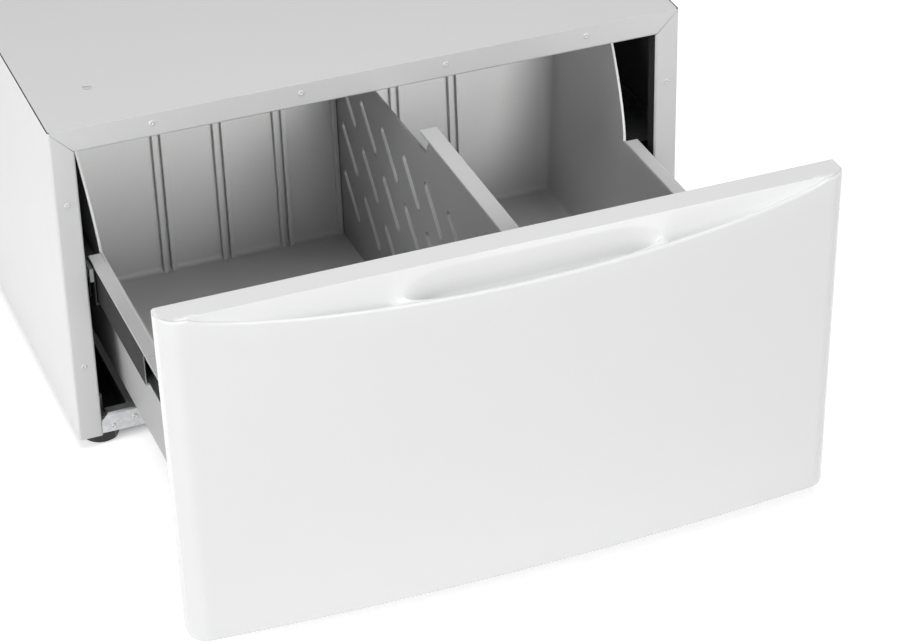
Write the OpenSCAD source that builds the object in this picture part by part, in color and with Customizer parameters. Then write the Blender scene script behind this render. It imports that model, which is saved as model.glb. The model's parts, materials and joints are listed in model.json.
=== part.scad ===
// Pedestal drawer for a laundry machine, drawn with its drawer part open.
// x = 0 is the middle, y = 0 (before centring) the front face of the cabinet, z = 0 the floor.

/* [Cabinet] */
// Width over the side panels
cab_w = 686; // [600:1:740]
// Depth from the front frame to the rear screw heads
cab_d = 660; // [630:1:760]
// Height of the sheet steel body
cab_h = 366; // [350:1:440]
// Sheet thickness of the cabinet
sheet = 1.2; // [0.8:0.1:2]
// Face width of the stiles and of the top rail
frame_w = 26; // [22:1:36]
// Depth of the returns behind the frame
return_d = 18; // [12:1:24]
// Width of the flanges at the back of the side panels
rear_flange = 20; // [14:1:30]
// Outside radius of the bends in the cabinet sheet
bend_r = 2.5; // [2:0.1:4]
// Depth of the turned-down edge of the top deck
deck_lip = 15; // [8:1:25]
// Spacing of the machine's bolt holes, left to right
bolt_x = 560; // [400:1:570]
// Spacing of the machine's bolt holes, front to back
bolt_y = 500; // [350:1:560]
// Radius of the machine's bolt holes
bolt_r = 5; // [3:0.1:6.5]

/* [Base] */
// Height of the front and rear bottom rails
rail_h = 24.5; // [20:0.5:30]
// Setback of the front bottom rail
rail_back = 2; // [1:0.5:5]
// Width of the channels that carry the feet
channel_w = 56; // [45:1:70]
// Height of a foot's hexagon
foot_h = 15; // [10:1:30]
// Width of a foot over its flats
foot_af = 38; // [30:1:44]
// Radius of a foot's threaded stem
stem_r = 4.95; // [3:0.05:6]
// Length of a foot's stem
stem_l = 44; // [32:1:46]
// Distance from a foot's middle to the side of the cabinet
foot_in = 29; // [26:1:34]
// Distance from a foot's middle to the front or back of the cabinet
foot_back = 26; // [26:1:34]

/* [Drawer] */
// How far the drawer stands open
drawer_open = 349; // [0:1:470]
// Gap between the closed drawer front and the cabinet
front_gap = 3.6; // [3:0.1:6]
// Inside height of the bin floor above the floor
bin_floor = 59.4; // [52:0.1:80]
// Draft of the bin's sides, millimetres for each millimetre up
bin_draft = 0.055; // [0.03:0.005:0.055]
// Draft of the bin's back
back_draft = 0.04; // [0:0.01:0.06]
// Wall of the bin
bin_wall = 3; // [2:0.1:3]
// Inside depth of the bin at its floor
bin_d = 573; // [420:1:590]
// Height of the rims along the sides
rim_z = 219.4; // [218:0.1:226]
// Height of the back wall and its wings
back_z = 345; // [300:1:348]
// Distance over which the wings rise, behind the rims
wing_run = 69; // [30:1:120]
// Length of the raised part behind the rims
wing_from = 197; // [120:1:260]
// Radius along the edges of the bin's floor
bin_r = 12; // [4:1:16]
// Radius of the bin's upright corners
bin_corner = 14; // [4:1:24]
// Height of the bead along the inner edge of the rims
bead_h = 0.8; // [0:0.1:2]
// Depth of the step in the middle of the rims
rim_step = 0.7; // [0:0.1:1.5]
// Pitch of the divider channels
rib_pitch = 69.3; // [50:0.1:80]
// Number of divider channels
rib_n = 6; // [2:2:6]
// How far the channel ribs stand out
rib_out = 6; // [3:0.5:8]
// Width of a channel rib
rib_w = 5; // [3:0.5:7]

/* [Front] */
// Setback of each end of the drawer front from the side of the cabinet
front_in = 1; // [0:0.5:5]
// Height of the drawer front
front_h = 362; // [340:1:430]
// Height of its lower edge above the floor
front_low = 19; // [17:1:30]
// How much each side draws in towards the bottom
front_taper = 5.8; // [0:0.1:8]
// Thickness at the middle
front_t = 45.7; // [38:0.1:60]
// How much the face bows back towards the sides
bow = 14.7; // [0:0.1:20]
// How much the face leans out at the top
lean = 6; // [0:0.5:10]
// Radius of the upright corners
front_r = 18; // [8:1:20]
// Wall of the moulded front
front_wall = 3; // [2:0.1:5]
// Distance from each end of the front to the tip of the crescent scoop
scoop_in = 25; // [20:1:60]
// Depth of the scoop at the middle
scoop_h = 28; // [15:1:40]
// Width of the flat ledge along the top
ledge = 26.8; // [18:0.1:30]
// Half width of the finger bowl
bowl_half = 130; // [70:1:160]
// Distance of the finger bowl from the middle, to the right
bowl_x = 14; // [-20:1:20]
// Extra depth of the finger bowl
bowl_h = 20; // [5:1:22]
// Width of the bowl's sloping ends
bowl_end = 60; // [30:1:65]
// Depth of the hollows beside the bowl
hollow_h = 11; // [0:0.5:12]
// Radius of the rolled lip in front of the scoop
lip_r = 1.7; // [1:0.1:2]

/* [Divider] */
// Thickness of the divider
div_t = 3.2; // [2:0.1:4]
// Height of its top edge at the back
div_z = 296; // [240:1:300]
// Height of the grip bar's top
bar_z = 323.6; // [310:0.1:326]
// Width of the grip bar
bar_w = 18.7; // [12:0.1:26]
// Length of the grip bar
bar_l = 309; // [200:1:330]
// Width of a slot
slot_w = 11; // [4:0.5:14]
// Length of a slot between the centres of its ends
slot_l = 53.6; // [30:0.1:60]
// Slope of the slots
slot_a = 43.6; // [20:0.1:60]
// Spacing of the slots from front to back
slot_dy = 65; // [50:1:90]
// Spacing of the slots up the divider
slot_dz = 59.5; // [50:0.5:80]

/* [Slides] */
// Length of a closed slide
slide_l = 550; // [480:1:570]
// Height of the middle of the slides above the floor
slide_z = 192; // [150:0.5:193]
// Height of the outer slide member
slide_h = 45; // [40:0.5:46]
// Thickness of a slide
slide_t = 12.7; // [12.5:0.05:14]
// Reach of the slide brackets from the side panels
bracket_w = 33; // [30:0.5:40]
// Sheet thickness of the slide members
slide_s = 1.2; // [0.9:0.1:1.3]
// Radius of the balls
ball_r = 1.5; // [1.3:0.05:1.6]
// Length of a ball cage
cage_l = 240; // [160:1:260]
// Pitch of the balls
ball_pitch = 36; // [20:1:60]

/* [Hidden] */
$fn = 48;

// colours
white = [0.93, 0.935, 0.93];
enamel = [0.88, 0.885, 0.885];
zinc = [0.7, 0.71, 0.72];
grey = [0.6, 0.61, 0.61];
dark_grey = [0.42, 0.43, 0.43];
black = [0.06, 0.06, 0.065];

// clearances
gap = 0.3;          // between pieces that only lie close to each other
run = 0.05;         // radial, stem in its nut
ball_gap = 0.1;     // ball to groove and to cage

// places that follow from the sizes
hw = cab_w / 2;
z0 = foot_h;
top = z0 + cab_h;
head_h = 1.6;
head_r = 4.5;
shank_r = 2;
rear_y = cab_d - head_h;                 // outside of the rear flanges
in_x = hw - frame_w;                     // edge of the front opening
rail_z = top - frame_w;                  // lower edge of the top rail
panel_y = -front_gap;                    // back plane of the closed drawer front
bin_y0 = panel_y + sheet;                // front of the bin, against the inner panel
bin_in0 = bin_y0 + bin_wall;             // inside of the bin's front wall
bin_in1 = bin_in0 + bin_d;               // inside of its back wall, at the floor
outer_x = hw - sheet - bracket_w;        // outside of the slides
slide_x = outer_x - slide_t;             // inside of the slides
pad_r = 8;                               // bosses of the bin that carry the slides
bin_gap = 1;                             // least gap between the bin's wall and the slides
// inside half width of the bin at its floor
bin_half = slide_x - bin_gap - bin_wall - (slide_z + 2 * pad_r - 1 - bin_floor) * bin_draft;

// slide section, u outwards from the drawer, v up from the middle
outer_v = slide_h / 2;
ball_v1 = outer_v - slide_s - ball_gap - ball_r;      // outer row
lip_off = ball_r * 0.6;                               // flange faces beside a groove
mid_v1 = ball_v1 - lip_off;
mid_v0 = ball_v1 - 2 * ball_r - 2 * ball_gap - slide_s + lip_off;
ball_v0 = mid_v0 - lip_off;                           // inner row
in_v = ball_v0 - lip_off;
u_out = slide_t - slide_s;                            // inside of the outer web
cage_t = 0.7;
u_cage1 = u_out - 0.35 - cage_t;
u_mid = u_cage1 - 0.35 - slide_s;
u_cage0 = u_mid - 0.4 - cage_t;
ball_u1 = slide_t / 2;
ball_u0 = ball_u1 - 1.3;
slide_y0 = 8;

function unit(v) = v / norm(v);
// arc that rounds corner b of a to b to c with radius r
function fillet(a, b, c, r, n) = r <= 0 ? [b] : let(
    u = unit(a - b), v = unit(c - b),
    half = acos(u * v) / 2,
    m = b + unit(u + v) * r / sin(half),
    s = b + u * r / tan(half) - m,
    e = b + v * r / tan(half) - m,
    a0 = atan2(s[1], s[0]),
    sweep = ((atan2(e[1], e[0]) - a0 + 540) % 360) - 180
) [for (i = [0:n]) m + r * [cos(a0 + sweep * i / n), sin(a0 + sweep * i / n)]];
// outline of [x, y, radius] corners
function rounded(p, n = 4) = let(k = len(p)) [
    for (i = [0:k - 1]) let(a = p[(i + k - 1) % k], b = p[i], c = p[(i + 1) % k])
        each fillet([a[0], a[1]], [b[0], b[1]], [c[0], c[1]], b[2], n)];

module placed() translate([0, -mid_y, 0]) children();
module drawer() translate([0, -mid_y - drawer_open, 0]) children();
module middle_slide() translate([0, -mid_y - drawer_open / 2, 0]) children();
module right() mirror([1, 0, 0]) children();
// outline in y and z, drawn out from x = a to x = b
module along_x(a, b) translate([a, 0, 0]) rotate([90, 0, 90]) linear_extrude(b - a) children();
// outline in x and z, drawn out from y = a to y = b
module along_y(a, b) translate([0, b, 0]) rotate([90, 0, 0]) linear_extrude(b - a) children();
module rod_x(x, y, z, r, l) translate([x, y, z]) rotate([0, 90, 0]) cylinder(r = r, h = l);
module rod_y(x, y, z, r, l) translate([x, y, z]) rotate([-90, 0, 0]) cylinder(r = r, h = l);

// ---- cabinet ----

stile_rivet_z = 89;
stile_rivet_pitch = 193;
rail_rivet_pitch = 157.5;
stile_rivets = [z0 + stile_rivet_z, z0 + stile_rivet_z + stile_rivet_pitch];
rail_rivets = [for (k = [-1.5, -0.5, 0.5, 1.5]) k * rail_rivet_pitch];
rivet_r = 2;
rear_screw_z = [z0 + 60, z0 + cab_h / 2, top - 60];

module side_panel() {
    difference() {
        linear_extrude(top - z0) polygon(rounded([
            [-hw, 0, bend_r], [-in_x, 0, bend_r], [-in_x, return_d, 0],
            [-in_x - sheet, return_d, 0], [-in_x - sheet, sheet, bend_r - sheet],
            [-hw + sheet, sheet, bend_r - sheet], [-hw + sheet, rear_y - sheet, bend_r - sheet],
            [-hw + rear_flange, rear_y - sheet, 0], [-hw + rear_flange, rear_y, 0],
            [-hw, rear_y, bend_r]]));
        // mitre at the top of the stile
        along_y(-1, return_d + 1) translate([0, -z0]) polygon([
            [-hw + bend_r, top + 1], [-hw + bend_r, top - bend_r], [-in_x - 0.2, rail_z - 0.2],
            [-in_x + 2, rail_z - 0.2], [-in_x + 2, top + 1]]);
        for (z = stile_rivets)
            rod_y(-hw + frame_w / 2, -1, z - z0, rivet_r + gap / 3, sheet + 2);
        for (z = rear_screw_z)
            rod_y(-hw + rear_flange / 2, rear_y - sheet - 1, z - z0, shank_r + gap / 3, sheet + 2);
    }
}
module left_side_panel() placed() color(white) translate([0, 0, z0]) side_panel();
module right_side_panel() placed() right() color(white) translate([0, 0, z0]) side_panel();

module front_top_rail() placed() color(white) {
    difference() {
        along_x(-hw, hw) polygon(rounded([
            [0, top, 0], [0, rail_z, bend_r], [return_d, rail_z, 0],
            [return_d, rail_z + sheet, 0], [sheet, rail_z + sheet, bend_r - sheet], [sheet, top, 0]]));
        for (s = [-1, 1]) along_y(-1, return_d + 1) polygon([
            [s * (hw + 1), top + 1], [s * (hw - bend_r - gap), top + 1], [s * (hw - bend_r - gap), top - bend_r],
            [s * (in_x - gap), rail_z - 0.01], [s * (in_x - gap), rail_z - 1], [s * (hw + 1), rail_z - 1]]);
        for (x = rail_rivets) rod_y(x, -1, top - 10.5, rivet_r + gap / 3, sheet + 2);
    }
}

module rivet() {
    difference() {
        union() {
            translate([0, 0, -sheet]) cylinder(r = rivet_r, h = sheet);
            cylinder(r1 = 3.6, r2 = 3, h = 0.9);
        }
        translate([0, 0, 0.4]) cylinder(r = 1.5, h = 1);
    }
}
module frame_rivets() placed() color(white) {
    for (s = [-1, 1], z = stile_rivets) translate([s * (hw - frame_w / 2), 0, z]) rotate([90, 0, 0]) rivet();
    for (x = rail_rivets) translate([x, 0, top - 10.5]) rotate([90, 0, 0]) rivet();
}

deck_x = hw - sheet;
deck_y1 = rear_y - 2 * sheet;
module top_deck() placed() color(enamel) {
    difference() {
        translate([0, 0, top - deck_lip]) linear_extrude(deck_lip) polygon(rounded([
            [-deck_x, sheet, bend_r], [deck_x, sheet, bend_r],
            [deck_x, deck_y1, bend_r], [-deck_x, deck_y1, bend_r]]));
        translate([-deck_x + sheet, 2 * sheet, top - deck_lip - 1])
            cube([2 * (deck_x - sheet), deck_y1 - 3 * sheet, deck_lip + 1 - sheet]);
        for (x = [-1, 1], y = [-1, 1]) translate([x * bolt_x / 2, cab_d / 2 + y * bolt_y / 2, top - 2 * sheet])
            cylinder(r = bolt_r, h = 3 * sheet);
    }
}
brace_w = 38;       // channel of a deck brace
brace_d = 16;
brace_lip = 11;
// hat section whose flanges lie against the deck
module deck_brace(y) along_x(-deck_x + sheet, deck_x - sheet) translate([y, top - sheet]) polygon([
    [-brace_w / 2 - brace_lip, 0], [-brace_w / 2 - brace_lip, -sheet], [-brace_w / 2, -sheet],
    [-brace_w / 2, -brace_d], [brace_w / 2, -brace_d], [brace_w / 2, -sheet],
    [brace_w / 2 + brace_lip, -sheet], [brace_w / 2 + brace_lip, 0], [brace_w / 2 - sheet, 0],
    [brace_w / 2 - sheet, sheet - brace_d], [sheet - brace_w / 2, sheet - brace_d], [sheet - brace_w / 2, 0]]);
module front_deck_brace() placed() color(zinc) deck_brace(cab_d / 2 - 90);
module rear_deck_brace() placed() color(zinc) deck_brace(cab_d / 2 + 90);

rear_x = deck_x - bend_r + sheet;        // clear of the bends of the side panels
bead_r = 5;
bead_in = 60;
bead_z = [z0 + 120, z0 + 250];
module rear_panel() placed() color(enamel) {
    y1 = rear_y - sheet;
    difference() {
        union() {
            translate([-rear_x, y1 - sheet, z0]) cube([2 * rear_x, sheet, cab_h]);
            // two pressed beads
            for (z = bead_z) along_x(bead_in - hw, hw - bead_in) translate([y1 - sheet, z]) circle(r = bead_r);
        }
        for (z = bead_z) along_x(bead_in + sheet - hw, hw - bead_in - sheet)
            translate([y1 - sheet, z]) circle(r = bead_r - sheet);
        translate([-hw, y1, z0]) cube([cab_w, 10, cab_h]);
        for (s = [-1, 1], z = rear_screw_z)
            rod_y(s * (hw - rear_flange / 2), y1 - 2 * sheet, z, shank_r + gap / 3, 4 * sheet);
    }
}
module cabinet_screws() placed() color(zinc) {
    for (s = [-1, 1], z = rear_screw_z) translate([s * (hw - rear_flange / 2), rear_y, z]) {
        rotate([-90, 0, 0]) cylinder(r1 = head_r, r2 = head_r - 1, h = head_h);
        rotate([90, 0, 0]) cylinder(r = shank_r, h = 8);
    }
}

// ---- base ----

rail_y = rail_back;
rail_top = z0 + rail_h;
chan_y0 = return_d + gap;
rear_rail_y = rear_y - 2 * sheet;                 // outside of the rear rail
flange_d = 15;
chan_y1 = rear_rail_y - flange_d;
module bottom_rail_section(depth) polygon(rounded([
    [0, z0, bend_r], [depth, z0, 0], [depth, z0 + sheet, 0], [sheet, z0 + sheet, bend_r - sheet],
    [sheet, rail_top - sheet, bend_r - sheet], [flange_d - 3, rail_top - sheet, 0],
    [flange_d - 3, rail_top, 0], [0, rail_top, bend_r]]));
rivet_at = [[in_x - 12.4, 7.5], [in_x - 36, 13.8]];
module front_bottom_rail() placed() color(zinc) {
    difference() {
        along_x(-in_x, in_x) translate([rail_y, 0]) bottom_rail_section(return_d - rail_y);
        // chamfered upper ends
        for (s = [-1, 1]) along_y(0, flange_d + rail_y) polygon([
            [s * (in_x + 1), rail_top - 9], [s * (in_x - 9), rail_top + 1], [s * (in_x + 1), rail_top + 1]]);
        for (s = [-1, 1], p = rivet_at) rod_y(s * p[0], rail_y - 1, z0 + p[1], rivet_r + gap / 3, 3);
    }
}
module base_rail_rivets() placed() color(zinc) {
    for (s = [-1, 1], p = rivet_at) translate([s * p[0], rail_y, z0 + p[1]]) rotate([90, 0, 0]) rivet();
}
module rear_bottom_rail() placed() color(zinc)
    along_x(-deck_x, deck_x) translate([rear_rail_y, 0]) mirror([1, 0]) bottom_rail_section(flange_d);

module base_channel() {
    x0 = -hw + sheet;
    x1 = x0 + channel_w;
    tab_h = rail_h - 2 * bend_r;
    difference() {
        union() {
            translate([x0, chan_y0, z0]) cube([channel_w, chan_y1 - chan_y0, sheet]);
            translate([x0, chan_y0, z0]) cube([sheet, chan_y1 - chan_y0, rail_h + 6]);
            translate([x1 - sheet, rail_y + sheet, z0 + bend_r])
                cube([sheet, chan_y0 - rail_y, tab_h]);
            translate([x1 - sheet, chan_y0, z0]) cube([sheet, chan_y1 - chan_y0, rail_h - gap]);
            // tab behind the front rail
            translate([-in_x + 1, rail_y + sheet, z0 + bend_r]) cube([x1 + in_x - 1, sheet, tab_h]);
        }
        for (y = [foot_back, cab_d - foot_back]) translate([-hw + foot_in, y, z0 - 1])
            cylinder(r = stem_r + 0.5, h = 3 * sheet);
        for (p = rivet_at) rod_y(-p[0], rail_y + sheet - 0.5, z0 + p[1], rivet_r + gap / 3, 3);
    }
}
module left_base_channel() placed() color(zinc) base_channel();
module right_base_channel() placed() right() color(zinc) base_channel();

module foot_weld_nuts() placed() color(zinc) {
    for (s = [-1, 1], y = [foot_back, cab_d - foot_back]) translate([s * (hw - foot_in), y, z0 + sheet])
        difference() {
            cylinder(r = 9, h = 8, $fn = 6);
            translate([0, 0, -1]) cylinder(r = stem_r + run, h = 10);
        }
}
// moulded hexagon, rounded at its lower edge
module foot() {
    difference() {
        intersection() {
            cylinder(r = foot_af / sqrt(3), h = foot_h, $fn = 6);
            union() {
                cylinder(r1 = foot_af / 2 - 2, r2 = foot_af / sqrt(3), h = 4);
                translate([0, 0, 4]) cylinder(r = foot_af / sqrt(3), h = foot_h - 4);
            }
        }
        translate([0, 0, 6]) cylinder(r = stem_r, h = foot_h);
    }
}
module stem() translate([0, 0, 6]) {
    cylinder(r = stem_r, h = stem_l - 1);
    translate([0, 0, stem_l - 1]) cylinder(r1 = stem_r, r2 = stem_r - 1, h = 1);
}
module foot_at(s, y) translate([s * (hw - foot_in), y, 0]) children();
module front_left_foot() placed() color(black) foot_at(-1, foot_back) foot();
module front_right_foot() placed() color(black) foot_at(1, foot_back) foot();
module rear_left_foot() placed() color(black) foot_at(-1, cab_d - foot_back) foot();
module rear_right_foot() placed() color(black) foot_at(1, cab_d - foot_back) foot();
module front_left_stem() placed() color(zinc) foot_at(-1, foot_back) stem();
module front_right_stem() placed() color(zinc) foot_at(1, foot_back) stem();
module rear_left_stem() placed() color(zinc) foot_at(-1, cab_d - foot_back) stem();
module rear_right_stem() placed() color(zinc) foot_at(1, cab_d - foot_back) stem();

// ---- slides, drawn on the left: u becomes -x ----

module slide_section_to(y, l) {
    along_y(y, y + l) translate([-slide_x, slide_z]) mirror([1, 0]) children();
}
module outer_section() difference() {
    square_v(3.2, slide_t, outer_v);
    square_v(3.2 - 1, u_out, ball_v1 + lip_off);
    for (s = [-1, 1]) translate([ball_u1, s * ball_v1]) circle(r = ball_r + ball_gap);
}
module square_v(u0, u1, v) translate([u0, -v]) square([u1 - u0, 2 * v]);
module mid_section() difference() {
    square_v(3.2, u_mid + slide_s, mid_v1);
    square_v(2.2, u_mid, mid_v0);
    for (s = [-1, 1]) {
        translate([ball_u1, s * ball_v1]) circle(r = ball_r + ball_gap);
        translate([ball_u0, s * ball_v0]) circle(r = ball_r + ball_gap);
    }
}
module inner_section() difference() {
    square_v(0, u_cage0 - 0.4, in_v);
    square_v(slide_s, slide_t, in_v - ball_r * 0.4 - slide_s);
    for (s = [-1, 1]) translate([ball_u0, s * ball_v0]) circle(r = ball_r + ball_gap);
}
module cage_section(u_web, v) difference() {
    square_v(ball_r + 1.9, u_web + cage_t, v + 0.45);
    square_v(0, u_web, v - 0.45);
}
cage_y = slide_y0 + 130;
function balls(l) = [for (i = [0:floor((l - 20) / ball_pitch)]) 10 + i * ball_pitch];
module cage(u_web, u_ball, v) difference() {
    slide_section_to(cage_y, cage_l) cage_section(u_web, v);
    for (y = balls(cage_l)) translate([-slide_x - u_ball, cage_y + y, slide_z - v - 2])
        cylinder(r = ball_r + ball_gap, h = 2 * v + 4);
}
module ball_rows(u_ball, v) for (y = balls(cage_l), s = [-1, 1])
    translate([-slide_x - u_ball, cage_y + y, slide_z + s * v]) sphere(r = ball_r);
module outer_cage_place() translate([0, -mid_y - drawer_open / 4, 0]) children();
module inner_cage_place() translate([0, -mid_y - drawer_open * 3 / 4, 0]) children();

module left_slide_outer() placed() color(zinc) slide_section_to(slide_y0, slide_l) outer_section();
module right_slide_outer() placed() right() color(zinc) slide_section_to(slide_y0, slide_l) outer_section();
module left_slide_intermediate() middle_slide() color(zinc)
    slide_section_to(slide_y0 + 4, slide_l - 8) mid_section();
module right_slide_intermediate() middle_slide() right() color(zinc)
    slide_section_to(slide_y0 + 4, slide_l - 8) mid_section();
screw_y = [for (f = [0.1, 0.36, 0.63, 0.9]) slide_y0 + f * slide_l];
module slide_inner() difference() {
    slide_section_to(slide_y0 - 2, slide_l) inner_section();
    for (y = screw_y) rod_x(-slide_x - 2 * slide_s, y, slide_z, shank_r + gap / 3, 3 * slide_s);
}
module left_slide_inner() drawer() color(zinc) slide_inner();
module right_slide_inner() drawer() right() color(zinc) slide_inner();
module slide_screws() drawer() color(zinc) for (s = [-1, 1], y = screw_y) translate([s * slide_x, y, slide_z])
    rotate([0, s * 90, 0]) {
        translate([0, 0, slide_s]) cylinder(r1 = head_r, r2 = head_r - 1, h = head_h);
        translate([0, 0, -3]) cylinder(r = shank_r, h = 3 + slide_s);
    }
module left_outer_cage() outer_cage_place() color(zinc) cage(u_cage1, ball_u1, ball_v1);
module right_outer_cage() outer_cage_place() right() color(zinc) cage(u_cage1, ball_u1, ball_v1);
module left_inner_cage() inner_cage_place() color(zinc) cage(u_cage0, ball_u0, ball_v0);
module right_inner_cage() inner_cage_place() right() color(zinc) cage(u_cage0, ball_u0, ball_v0);
module left_outer_balls() outer_cage_place() color(zinc) ball_rows(ball_u1, ball_v1);
module right_outer_balls() outer_cage_place() right() color(zinc) ball_rows(ball_u1, ball_v1);
module left_inner_balls() inner_cage_place() color(zinc) ball_rows(ball_u0, ball_v0);
module right_inner_balls() inner_cage_place() right() color(zinc) ball_rows(ball_u0, ball_v0);

bracket_y0 = 28;
bracket_l = slide_l;
module slide_bracket() {
    v = outer_v;
    along_y(bracket_y0, bracket_y0 + bracket_l) polygon([
        [-outer_x, slide_z - v], [-outer_x, slide_z + v], [-hw + sheet * 2, slide_z + v],
        [-hw + sheet * 2, slide_z + v + 13], [-hw + sheet, slide_z + v + 13],
        [-hw + sheet, slide_z + v - sheet], [-outer_x - sheet, slide_z + v - sheet],
        [-outer_x - sheet, slide_z - v + sheet], [-hw + sheet, slide_z - v + sheet],
        [-hw + sheet, slide_z - v - 13], [-hw + 2 * sheet, slide_z - v - 13],
        [-hw + 2 * sheet, slide_z - v]]);
}
module left_slide_bracket() placed() color(zinc) slide_bracket();
module right_slide_bracket() placed() right() color(zinc) slide_bracket();
module slide_front_clips() placed() color(zinc) for (s = [-1, 1]) scale([s, 1, 1]) difference() {
    translate([outer_x, slide_y0, slide_z + 6]) cube([4, bracket_y0 - slide_y0 - gap, 15]);
    translate([outer_x - 1, slide_y0 + 5, slide_z + 10]) cube([6, 7, 7]);
}

// ---- drawer ----

module bin_section(t) {
    // t is the wall left outside: 0 gives the inside
    low = bin_floor - t;
    half = bin_half + t;
    x1 = half + (back_z + 1 - bin_floor) * bin_draft;
    polygon(rounded([[-half, low, bin_r + t], [half, low, bin_r + t], [x1, back_z + (t > 0 ? 0 : 1), 0],
        [-x1, back_z + (t > 0 ? 0 : 1), 0]], 5));
}
wing_pow = 1.41;
rise = back_z - rim_z;
wing_y = bin_in1 - wing_from;
module bin_side(t) {
    y1 = bin_in1 + t;
    up = back_z + (t > 0 ? 0 : 1);
    polygon(rounded([[bin_in0 - t, bin_floor - t, bin_r / 2 + t], [y1, bin_floor - t, bin_r + t],
        [y1 + (up - bin_floor) * back_draft, up, 0], [bin_in0 - t, up, 0]], 5));
}
// everything in front of the wings and above the rims
module bin_cutaway() polygon(concat([[bin_y0 - 5, rim_z]], [for (i = [0:10]) let(z = rise * i / 10)
    [wing_y + wing_run * pow(i / 10, wing_pow), rim_z + z]], [[wing_y + wing_run, back_z + 5], [bin_y0 - 5, back_z + 5]]));
rim_out = outer_x - gap;
channel_at = [for (i = [0:rib_n - 1]) (i - (rib_n - 1) / 2) * rib_pitch];
module bin_shell() difference() {
    intersection() {
        along_y(bin_y0, bin_in1 + 40) bin_section(bin_wall);
        along_x(-hw, hw) bin_side(bin_wall);
    }
    intersection() {
        along_y(bin_y0, bin_in1 + 40) bin_section(0);
        along_x(-hw, hw) bin_side(0);
    }
    along_x(-hw, hw) bin_cutaway();
}
module channel_ribs(x) {
    w = div_t + 2 * 0.65;
    for (s = [-1, 1]) translate([x + s * (w + rib_w) / 2 - rib_w / 2, 0, 0]) {
        along_x(0, rib_w) polygon([
            [bin_in1 + 0.5, bin_floor - 1], [bin_in1 - rib_out, bin_floor - 1],
            [bin_in1 - rib_out + (back_z - bin_floor) * back_draft, back_z - 2],
            [bin_in1 + 0.5 + (back_z - bin_floor) * back_draft, back_z]]);
        along_x(0, rib_w) polygon([
            [bin_in0 - 0.5, bin_floor - 1], [bin_in0 + rib_out, bin_floor - 1],
            [bin_in0 + rib_out, rim_z - 6], [bin_in0 - 0.5, rim_z - 2]]);
    }
}
// fills each upright corner of the bin up to its radius, leaning with the two walls
module bin_corners() difference() {
    for (s = [-1, 1], rear = [0, 1]) translate([s * bin_half, rear ? bin_in1 : bin_in0, bin_floor - 1])
        mirror([s < 0 ? 1 : 0, 0, 0]) mirror([0, rear ? 0 : 1, 0])
            rotate([rear ? -atan(back_draft) : 0, atan(bin_draft), 0])
                linear_extrude(back_z) polygon(concat([[1, 1], [-bin_corner, 1]], [for (a = [90:-15:0])
                    bin_corner * [cos(a) - 1, sin(a) - 1]], [[1, -bin_corner]]));
    along_x(-hw, hw) bin_cutaway();
    translate([-hw, bin_y0, back_z]) cube([cab_w, 2 * bin_d, 2 * back_z]);
}
// rims over the slides, with a step in the middle and a bead along the inner edge
rim_at = [bin_y0, 96, 168, wing_y - 2];
rim_bead = 2.2;
module bin_rims() for (s = [-1, 1], i = [0:2]) {
    z = rim_z - (i == 1 ? rim_step : 0);
    l = rim_at[i + 1] - rim_at[i];
    translate([s > 0 ? rim_in : -rim_out, rim_at[i], z - bin_wall]) cube([rim_out - rim_in, l, bin_wall]);
    translate([s > 0 ? rim_in : -rim_in - rim_bead, rim_at[i], z - bin_wall]) cube([rim_bead, l, bin_wall + bead_h]);
}
module drawer_bin() drawer() color(grey) {
    bin_corners();
    difference() {
        union() {
            bin_shell();
            for (x = channel_at) channel_ribs(x);
            for (s = [-1, 1], y = screw_y)
                rod_x(s > 0 ? bin_half + 3 : -slide_x, y, slide_z, pad_r, slide_x - bin_half - 3);
            bin_rims();
        }
        intersection() {
            along_y(bin_y0, bin_in1 + 40) bin_section(0);
            along_x(-hw, hw) polygon([[bin_in0 + rib_out, bin_floor], [bin_in1 - rib_out - 1, bin_floor],
                [bin_in1 - rib_out - 1, back_z], [bin_in0 + rib_out, back_z]]);
        }
        for (s = [-1, 1], y = screw_y) rod_x(s > 0 ? slide_x - 3.5 : -slide_x - 1, y, slide_z, shank_r + gap / 3, 4.5);
    }
}
rim_in = bin_half + (rim_z - bin_floor) * bin_draft + 0.5;

// The moulded front: upright sections lofted from side to side.
f_half = hw - front_in;
scoop_half = f_half - scoop_in;
f_top = front_low + front_h;
function half_at(z) = f_half - front_taper * (f_top - z) / front_h;
function corner_cut(x) = let(a = abs(x) - f_half + front_r)
    a <= 0 ? 0 : front_r - sqrt(max(front_r * front_r - a * a, 0));
function depth(x, z) = front_t - bow * pow(x / f_half, 2) - corner_cut(x)
    + lean * (z - front_low) / front_h * (1 - pow(x / f_half, 2));
function drop(x) = scoop_h * pow(max(0, 1 - pow(x / scoop_half, 2)), 0.72);
function smooth(t) = let(s = max(0, min(1, t))) s * s * (3 - 2 * s);
mid_y = (cab_d + panel_y - drawer_open - depth(0, f_top - scoop_h)) / 2;
function ledge_at(x) = min(ledge, depth(x, f_top) - 4);
// The scoop runs down from the ledge (t = 0) to the rolled lip (t = 1); the bowl lies round bowl_t.
scoop_n = 15;
lip_a = 140;
bowl_t = 0.56;
bowl_t0 = 0.12;         // where the bowl begins and ends across the scoop
bowl_t1 = 0.96;
saddle = 22;            // from the bowl's end to the full depth of the hollow
hollow_fade = 190;
function slope(t) = pow(sin(90 * min(1, 1.05 * t * t / (t + 0.05))), 0.85);
function valley(t) = pow(sin(180 * pow(t, 1.1)), 1.2);
function hollow(x) = hollow_h * smooth((abs(x - bowl_x) - bowl_half) / saddle)
    * smooth((scoop_half - abs(x)) / hollow_fade);
function bowl(x, t) = let(
    off = (t - bowl_t) / (t > bowl_t ? bowl_t1 - bowl_t : bowl_t0 - bowl_t),
    end = max(0, (abs(x - bowl_x) - bowl_half + bowl_end) / bowl_end)
) bowl_h * pow(max(0, min(1, 2 - 2 * norm([off, end]))), 1.3);
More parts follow.
